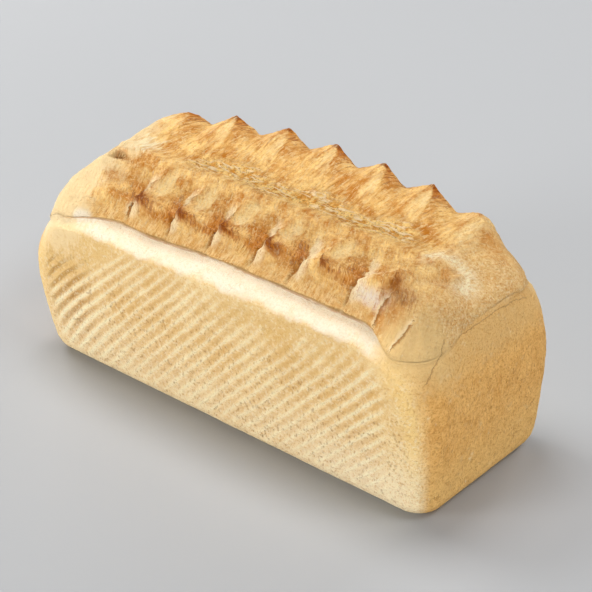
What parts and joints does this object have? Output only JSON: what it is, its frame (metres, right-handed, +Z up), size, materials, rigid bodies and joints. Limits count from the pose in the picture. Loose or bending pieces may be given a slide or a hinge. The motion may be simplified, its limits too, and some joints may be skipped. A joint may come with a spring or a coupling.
{
  "type": "tin loaf",
  "caption": "Uncut white tin loaf of bread with ribbed, tin-baked sides, a crease under the rim and a torn, crown-like top crust.",
  "frame": {"origin": "middle of the loaf's box, on the surface that it stands on", "axes": "+X along the loaf's length, +Z up, the ribbed front long side faces -Y"},
  "size_m": [0.286, 0.1242, 0.1367],
  "materials": {
    "crust": "baked bread crust"
  },
  "bodies": {
    "root": {"loaf": "crust"}
  },
  "joints": []
}
